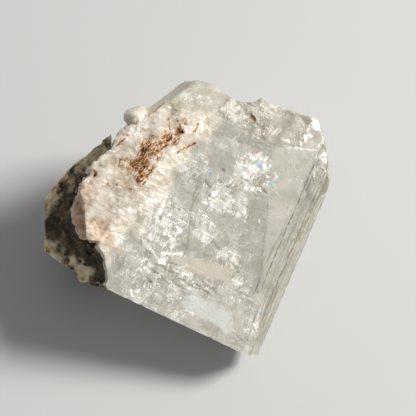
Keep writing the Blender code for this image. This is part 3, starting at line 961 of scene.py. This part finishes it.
def adularia():
    """Clear to milky feldspar: glassy skin, cloudy inside, with iron stains and an earthy broken end."""
    mat = bpy.data.materials.new("adularia, clear to milky")
    mat.use_nodes = True
    tree = mat.node_tree
    shader = tree.nodes["Principled BSDF"]
    place = add_node(tree, "TexCoord").outputs["Object"]
    mask = {}
    for layer in crystal_mesh.attributes:
        if layer.data_type == "FLOAT":
            mask[layer.name] = add_node(tree, "Attribute", attribute_name=layer.name).outputs["Fac"]

    # How white the fractures make it, and how dark the few that let no light back.
    white, splinter = crackle(tree, place, mask["crazed"], mask["frost"])
    window = add_node(tree, "MapRange", [mask["window"], 0.2, 0.8], **EASED)
    even = add_node(tree, "Math", [window, WINDOW_CALM], operation="MULTIPLY")
    calm = add_node(tree, "Math", [mask["calm"], BAND_CALM], operation="MULTIPLY")
    even = add_node(tree, "Math", [even, calm], operation="MAXIMUM")
    rest = add_node(tree, "Math", [1.0, even], operation="SUBTRACT")
    white = add_node(tree, "Math", [white, rest], operation="MULTIPLY")
    bent = warped(tree, place, 1.6, 0.2)
    torn_up = fibres(tree, bent, TORN_WAY, 5.0, clouds(0.24, 3.0, 0.6))
    torn_up = add_node(tree, "MapRange", [torn_up, 0.43, 0.56, 0.05, 1.0], **EASED)
    bright = add_node(tree, "MapRange", [mask["mark"], 0.0, 1.0], **EASED)
    bright = add_node(tree, "Math", [bright, torn_up], operation="MULTIPLY")
    # Painted highlight: the strongest cracks go solid white where they flash.
    flash_painted_white = add_node(tree, "MapRange", [mask["mark"], 0.95, 1.25], **EASED)
    for more in (bright, flash_painted_white):
        white = add_node(tree, "Math", [white, more], operation="MAXIMUM")
    ragged = patches(tree, place, clouds(0.5, 4.0, 0.7), (0.3, 0.6), (0.45, 1.0))
    dark = add_node(tree, "MapRange", [mask["mark"], 0.0, -1.0], **EASED)
    dark = add_node(tree, "Math", [dark, ragged], operation="MULTIPLY")
    white = add_node(tree, "Math", [white, dark], operation="SUBTRACT", use_clamp=True)

    # The growth lines, the iron, the earth and the other things that lie over the feldspar.
    tone = add_node(tree, "TexNoise", {"Vector": place, **clouds(2.2, 5.0, 0.68)})
    hue = add_node(tree, "TexNoise", {"Vector": place, **clouds(1.5, 2.0, 0.5)})
    grainy = add_node(tree, "TexNoise", {"Vector": place, **clouds(0.7, 4.0, 0.65)})
    pinkish = add_node(tree, "MapRange", [mask["tint"], 0.0, 1.0], **EASED)
    bluish = add_node(tree, "MapRange", [mask["tint"], 0.0, -1.0], **EASED)
    side = add_node(tree, "MapRange", [mask["edge"], 0.05 * MM, -0.2 * MM], **EASED)
    side = add_node(tree, "Math", [side, mask["calm"]], operation="MULTIPLY")
    side = add_node(tree, "Math", [side, mask["side"]], operation="MAXIMUM")
    lines = edge_lines(tree, place, mask["edge"])
    lines = add_node(tree, "Math", [lines, mask["calm"]], operation="MULTIPLY")
    peach = add_node(tree, "MapRange", [grainy, 0.3, 0.6, 0.5, 0.95], **EASED)
    peach = add_node(tree, "Math", [mask["blush"], peach], operation="MULTIPLY")
    rust, rust_colour = rust_layer(tree, place, mask["rust"])
    rusty = add_node(tree, "MapRange", [rust, 0.04, 0.40], **EASED)
    border = add_node(tree, "TexNoise", {"Vector": place, **clouds(0.9, 4.0, 0.7)})
    border = add_node(tree, "Math", [border, 0.5], operation="SUBTRACT")
    earth = add_node(tree, "Math", [border, EARTH_FRAY, mask["earth"]], operation="MULTIPLY_ADD")
    earth = add_node(tree, "MapRange", [earth, 0.35, 0.65], **EASED)
    earthy = add_node(tree, "MapRange", [mask["earth"], 0.0, 0.15], **EASED)
    earth = add_node(tree, "Math", [earth, earthy], operation="MULTIPLY")

    # Its colour, layer over layer: where each lies, how much of it shows, and its colour.
    clear = add_node(tree, "ValToRGB", [tone], CLEAR_COLOURS)
    clear = add_node(tree, "Mix", {0: white, 6: clear, 7: linear("#f6f5f1")}, data_type="RGBA")
    colour = add_node(tree, "ValToRGB", [tone], MILKY_COLOURS)
    layers = (
        (white, 0.9, linear("#fdf8f4")),
        (mask["clear"], 1.0, clear),
        (mask["calm"], 1.0, add_node(tree, "ValToRGB", [tone], BAND_COLOURS)),
        (mask["grey"], 1.0, add_node(tree, "ValToRGB", [white], FROST_COLOURS)),
        (pinkish, 0.6, linear("#e0d4c8")),
        (bluish, 0.6, linear("#e2e7e6")),
        (dark, 0.55, linear("#7b7160")),
        # Painted reflection: rainbow flashes laid into the colour.
        (mask["rainbow"], 0.65, add_node(tree, "ValToRGB", [hue], PAINTED_FLASH_COLOURS)),
        (side, 0.85, add_node(tree, "ValToRGB", [tone], SIDE_COLOURS)),
        (lines, 0.75, linear("#7f755f")),
        (peach, 1.0, add_node(tree, "ValToRGB", [grainy], PEACH_COLOURS)),
        (rusty, 1.0, rust_colour),
        # The earth on the broken end, with its painted shade and painted light.
        (earth, 1.0, earth_layer(tree, place, mask["grit_and_painted_shade"])),
    )
    for amount, most, over in layers:
        part = add_node(tree, "Math", [amount, most], operation="MULTIPLY")
        colour = add_node(tree, "Mix", {0: part, 6: colour, 7: over}, data_type="RGBA")
    tree.links.new(colour.outputs[2], shader.inputs["Base Color"])

    # How much light goes through: about half of it in the clear part, and none through rust or earth.
    share = add_node(tree, "MapRange", [window, 0.0, 1.0, *THROUGH], **EASED)
    share = add_node(tree, "Math", [mask["clear"], share], operation="MULTIPLY")
    tinted = add_node(tree, "Math", [mask["tint"]], operation="ABSOLUTE")
    losses = ((white, 0.85), (tinted, 0.6), (mask["calm"], 0.2), (rusty, 1.0), (mask["earth"], 1.0))
    for amount, loss in losses:
        kept = add_node(tree, "Math", [amount, -loss, 1.0], operation="MULTIPLY_ADD")
        share = add_node(tree, "Math", [share, kept], operation="MULTIPLY")
    tree.links.new(share.outputs[0], shader.inputs["Transmission Weight"])
    gloss = add_node(tree, "MapRange", [mask["frost"], 0.0, 1.0, *ROUGHNESS], **EASED)
    tree.links.new(gloss.outputs[0], shader.inputs["Roughness"])
    shader.inputs["IOR"].default_value = FELDSPAR_IOR
    shader.inputs["Subsurface Weight"].default_value = 0.85
    shader.inputs["Subsurface Radius"].default_value = (1.0, 0.9, 0.75)
    shader.inputs["Subsurface Scale"].default_value = MILKY_DEPTH * MM

    # The splinters and the grain stand out a little, and the clear part takes a faint green.
    grain = add_node(tree, "TexNoise", {"Vector": place, **clouds(0.32, 4.0, 0.7)})
    rise = [mask["frost"], 0.0, 1.0, GRAIN_HEIGHTS[0] * MM, GRAIN_HEIGHTS[1] * MM]
    rise = add_node(tree, "MapRange", rise, **EASED)
    height = add_node(tree, "Math", [splinter, rest], operation="MULTIPLY")
    height = add_node(tree, "Math", [grain, rise, height], operation="MULTIPLY_ADD")
    bump = add_node(tree, "Bump", {"Height": height, "Strength": 1.0, "Distance": 1.0})
    tree.links.new(bump.outputs[0], shader.inputs["Normal"])
    tinge = {"Color": linear("#e4e8d8"), "Density": TINGE_DENSITY}
    absorb = add_node(tree, "VolumeAbsorption", tinge)
    tree.links.new(absorb.outputs[0], tree.nodes["Material Output"].inputs["Volume"])
    return mat


crystal_mesh.materials.append(adularia())
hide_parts("adularia_crystal")
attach(crystal, "root")

# ---------------------------------------------------------------------------------------------------
# The fractures inside.  Cleavage cracks and healed veils lie under the broad face: each is a thin
# crumpled sheet, patchy like torn foil, that shows white or silver where light catches it.

# How wide the facets are, how far the sheets stay below the skin, and how wide their folds are (mm).
CRUMPLE_CELL = 1.1
CLEARANCE = 0.25
FOLD_SIZE = 3.0
# How ragged the rim is: shares of the sheet's size, and how wide the tears are (mm).
RAGGED = ((0.35, 1.3), (0.15, 0.4))


def under_broad(x, y, depth):
    """The place (mm) a depth below the broad face, under a spot seen from above."""
    return Vector((x, y, face_height(BROAD, BROAD_HEIGHT, x, y))) - facing(*BROAD) * depth


def inner_piece(name, bm, finish):
    """Make a piece in a finish from geometry in mm, and let it ride with the crystal."""
    mesh = bpy.data.meshes.new(name)
    bm.to_mesh(mesh)
    bm.free()
    mesh.transform(Matrix.Scale(MM, 4))
    mesh.materials.append(finish)
    made = bpy.data.objects.new(name, mesh)
    bpy.context.scene.collection.objects.link(made)
    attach(made, "root")


def crumpled_sheet(name, finish, middle, looks, half_sizes, turn, step, crumple):
    """A ragged sheet of small facets, kept inside the crystal."""
    out = facing(*looks)
    across = out.orthogonal().normalized()
    across.rotate(Matrix.Rotation(math.radians(turn), 3, out))
    along = out.cross(across)
    half_u, half_v = half_sizes
    bm = bmesh.new()
    columns = int(2 * half_u / step)
    rows = int(2 * half_v / step)
    grid = {}
    for i in range(columns + 1):
        for j in range(rows + 1):
            u = -half_u + i * step
            v = -half_v + j * step
            spot = middle + across * u + along * v
            ragged = sum(sway * noise.noise(spot / size) for sway, size in RAGGED)
            if math.hypot(u / half_u, v / half_v) > 1.0 + ragged:
                continue
            facet = noise.voronoi(spot / CRUMPLE_CELL, distance_metric="CHEBYCHEV")[0][0]
            fold = noise.fractal(spot / FOLD_SIZE, 1.0, 2.0, 2)
            spot = spot + out * crumple * (facet + fold - 0.4)
            near, normal, _, gap = skin.find_nearest(spot)
            if gap > CLEARANCE and (spot - near).dot(normal) < 0.0:
                grid[i, j] = bm.verts.new(spot)
    for i, j in grid:
        corners = [grid.get(key) for key in ((i, j), (i + 1, j), (i + 1, j + 1), (i, j + 1))]
        if all(corners):
            bm.faces.new(corners)
    loose = [vert for vert in bm.verts if not vert.link_faces]
    bmesh.ops.delete(bm, geom=loose, context="VERTS")
    bmesh.ops.triangulate(bm, faces=bm.faces)
    inner_piece(name, bm, finish)


def sheet_finish(name, colour, metallic, roughness, size, spread, most):
    """A thin sheet that shows in patches of a size in mm, like torn foil."""
    mat = bpy.data.materials.new(name)
    mat.use_nodes = True
    tree = mat.node_tree
    shader = tree.nodes["Principled BSDF"]
    shader.inputs["Base Color"].default_value = linear(colour)
    shader.inputs["Metallic"].default_value = metallic
    shader.inputs["Roughness"].default_value = roughness
    place = add_node(tree, "TexCoord").outputs["Object"]
    bent = warped(tree, place, size * 0.8, size * 0.3)
    torn = patches(tree, bent, clouds(size, 5.0, 0.7), spread, (0.0, most))
    tree.links.new(torn.outputs[0], shader.inputs["Alpha"])
    return mat


# Air in a cleavage crack is mirror-bright where it turns the light back, and nothing where it doesn't.
film = sheet_finish("air-filled cleavage crack", "#f4f6f5", 1.0, 0.22, 1.0, (0.50, 0.58), 0.85)
# A healed crack is full of tiny bubbles, which give a milk-white haze.
veil = sheet_finish("healed veil of bubbles", "#f2efe8", 0.0, 0.7, 0.8, (0.45, 0.62), 0.8)
# Where a crack is thin enough, its two sides give interference colours.
rainbow = sheet_finish("rainbow film in a thin crack", "#ffffff", 1.0, 0.25, 0.9, (0.44, 0.50), 1.0)
FILM_COLOURS = [
    (0.35, "#f7a8e6"), (0.43, "#fff2b8"), (0.5, "#ffffff"), (0.56, "#8fe9ff"), (0.65, "#c4ccff"),
]
tree = rainbow.node_tree
place = add_node(tree, "TexCoord").outputs["Object"]
hue = add_node(tree, "TexNoise", {"Vector": place, **clouds(1.6, 2.0, 0.5)})
hue = add_node(tree, "ValToRGB", [hue], FILM_COLOURS)
tree.links.new(hue.outputs["Color"], tree.nodes["Principled BSDF"].inputs["Base Color"])

# Each sheet: its finish, the spot above its middle (mm), its depth (mm), where it faces (degrees), its
# half-sizes (mm), its turn (degrees), the size of its mesh and the height of its facets (mm).
SHEETS = {
    "crack_window": (film, (6.0, -2.5), 1.2, (-60.0, 62.0), (6.5, 9.0), 10.0, 0.3, 0.45),
    "crack_deep": (film, (2.0, -4.0), 4.0, (-40.0, 50.0), (7.0, 9.0), 40.0, 0.35, 0.6),
    "veil_left": (veil, (0.0, -5.0), 1.0, (-70.0, 66.0), (5.0, 8.0), 0.0, 0.3, 0.5),
    "veil_right": (veil, (9.0, 0.0), 2.6, (-50.0, 55.0), (5.5, 9.0), 20.0, 0.35, 0.6),
    "flash_upper": (rainbow, (8.9, 4.2), 0.6, (-40.0, 61.0), (1.5, 0.75), -20.0, 0.1, 0.10),
    "flash_lower": (rainbow, (7.3, 3.0), 0.6, (-42.0, 61.0), (1.2, 0.7), 25.0, 0.1, 0.10),
    "flash_side": (rainbow, (11.3, 3.6), 0.5, (-38.0, 60.0), (0.7, 0.4), 0.0, 0.1, 0.08),
    "flash_tail": (film, (-1.3, -7.1), 0.6, (-40.0, 61.0), (1.6, 0.8), 75.0, 0.12, 0.08),
}
for name, (finish, (x, y), depth, *shape) in SHEETS.items():
    crumpled_sheet(name, finish, under_broad(x, y, depth), *shape)

# ---------------------------------------------------------------------------------------------------
# The cleavage flakes.  Adularia splits along flat planes at right angles, so hundreds of small flat
# cracks lie in its clear part.  Each is a little many-sided plate along one of those planes, and those
# that would come out through the skin are left out.
FLAKE_COUNT = 420
# Where they lie: across, back and how deep (mm).
FLAKE_REACH = ((-3.5, 15.0), (-16.0, 8.5), (0.35, 3.6))
FLAKE_SIZES = (0.25, 1.1)
# Which ways they face, and how far they lean from them (degrees).
FLAKE_PLANES = [(-40.0, 61.0), (-48.0, 57.0), (-75.0, 70.0), (-20.0, 45.0), (40.0, 35.0)]
FLAKE_LEAN = 9.0
FLAKE_SLIMNESS = (0.35, 0.9)
FLAKE_CORNERS = (4, 7)
# How far a corner wanders from its even place, as a share of the step between corners.
FLAKE_WANDER = 0.3


def flakes(name, finish, seed):
    """Small flat plates scattered under the broad face, most of them near the cleavage planes."""
    chance = random.Random(seed)
    bm = bmesh.new()
    (x0, x1), (y0, y1), (d0, d1) = FLAKE_REACH
    for _ in range(FLAKE_COUNT):
        spot = under_broad(chance.uniform(x0, x1), chance.uniform(y0, y1), chance.triangular(d0, d1, d0))
        bearing, slope = chance.choice(FLAKE_PLANES)
        out = facing(bearing + chance.gauss(0.0, FLAKE_LEAN), slope + chance.gauss(0.0, FLAKE_LEAN))
        across = out.orthogonal().normalized()
        across.rotate(Matrix.Rotation(chance.uniform(0.0, math.tau), 3, out))
        along = out.cross(across)
        size = chance.triangular(*FLAKE_SIZES, FLAKE_SIZES[0])
        slim = chance.uniform(*FLAKE_SLIMNESS)
        corners = chance.randint(*FLAKE_CORNERS)
        ring = []
        for corner in range(corners):
            turn = math.tau * (corner + chance.uniform(-FLAKE_WANDER, FLAKE_WANDER)) / corners
            ring.append(spot + (across * math.cos(turn) + along * math.sin(turn) * slim) * size)
        found = [skin.find_nearest(place) for place in ring]
        inside = [(place - near).dot(normal) < 0.0 for place, (near, normal, _, _) in zip(ring, found)]
        if all(inside) and min(hit[3] for hit in found) > CLEARANCE:
            bm.faces.new([bm.verts.new(place) for place in ring])
    inner_piece(name, bm, finish)


flakes("cleavage_flakes", film, 7)
flakes("healed_flakes", veil, 11)


# ---------------------------------------------------------------------------------------------------
# The studio.  The crystal rests on a sheet of matt grey card, under one large soft lamp to its right
# and the pale light of the room.  The camera looks down on it from the front.
for name in ("Cube", "Light", "Camera"):
    if name in bpy.data.objects:
        bpy.data.objects.remove(bpy.data.objects[name])

FLOOR_SIZE = 1.6
FLOOR_GAP = 0.00004
bpy.ops.mesh.primitive_plane_add(size=FLOOR_SIZE)
floor = bpy.context.object
floor.name = "floor"
floor.location.z = -FLOOR_GAP
paper = bpy.data.materials.new("matt grey card")
paper.use_nodes = True
paper_shader = paper.node_tree.nodes["Principled BSDF"]
paper_shader.inputs["Base Color"].default_value = linear("#cbccce")
paper_shader.inputs["Roughness"].default_value = 0.9
floor.data.materials.append(paper)

# The camera: how much of the crystal a pixel covers (mm), the width of the frame (pixels), how far
# down it looks (degrees), how far off it stands and what it looks at (mm).
PIXEL = 0.13
FRAME = 416
ELEVATION = 58.0
DISTANCE = 210.0
TARGET = Vector((2.739, 2.337, 8.654))
tilt = math.radians(ELEVATION)
ahead = Vector((0.0, math.cos(tilt), -math.sin(tilt)))
lens = bpy.data.cameras.new("camera")
lens.sensor_width = 36.0
lens.lens = DISTANCE / PIXEL / FRAME * lens.sensor_width
lens.clip_start = 0.01
camera = bpy.data.objects.new("camera", lens)
camera.location = (TARGET - ahead * DISTANCE) * MM
camera.rotation_euler = (math.radians(90.0 - ELEVATION), 0.0, 0.0)
bpy.context.scene.collection.objects.link(camera)
bpy.context.scene.camera = camera

# The lamp: the bearing and height it shines from (degrees), how far off and how wide it is (m), and
# its power (W).
LAMP_WAY = (10.0, 38.0)
LAMP_DISTANCE = 0.7
LAMP_SIZE = 0.22
LAMP_POWER = 6.9
LAMP_TARGET = Vector((0.0, 0.0, 0.008))
lamp = bpy.data.lights.new("key softbox", "AREA")
lamp.size = LAMP_SIZE
lamp.energy = LAMP_POWER
lamp.color = linear("#fffcf5")[:3]
softbox = bpy.data.objects.new("key softbox", lamp)
softbox.location = facing(*LAMP_WAY) * LAMP_DISTANCE + LAMP_TARGET
softbox.rotation_euler = facing(*LAMP_WAY).to_track_quat("Z", "Y").to_euler()
bpy.context.scene.collection.objects.link(softbox)

ROOM_LIGHT = 0.30
sky = bpy.data.worlds.new("studio")
sky.use_nodes = True
sky.node_tree.nodes["Background"].inputs["Color"].default_value = linear("#eeeeee")
sky.node_tree.nodes["Background"].inputs["Strength"].default_value = ROOM_LIGHT
bpy.context.scene.world = sky
bpy.context.scene.view_settings.view_transform = "Standard"
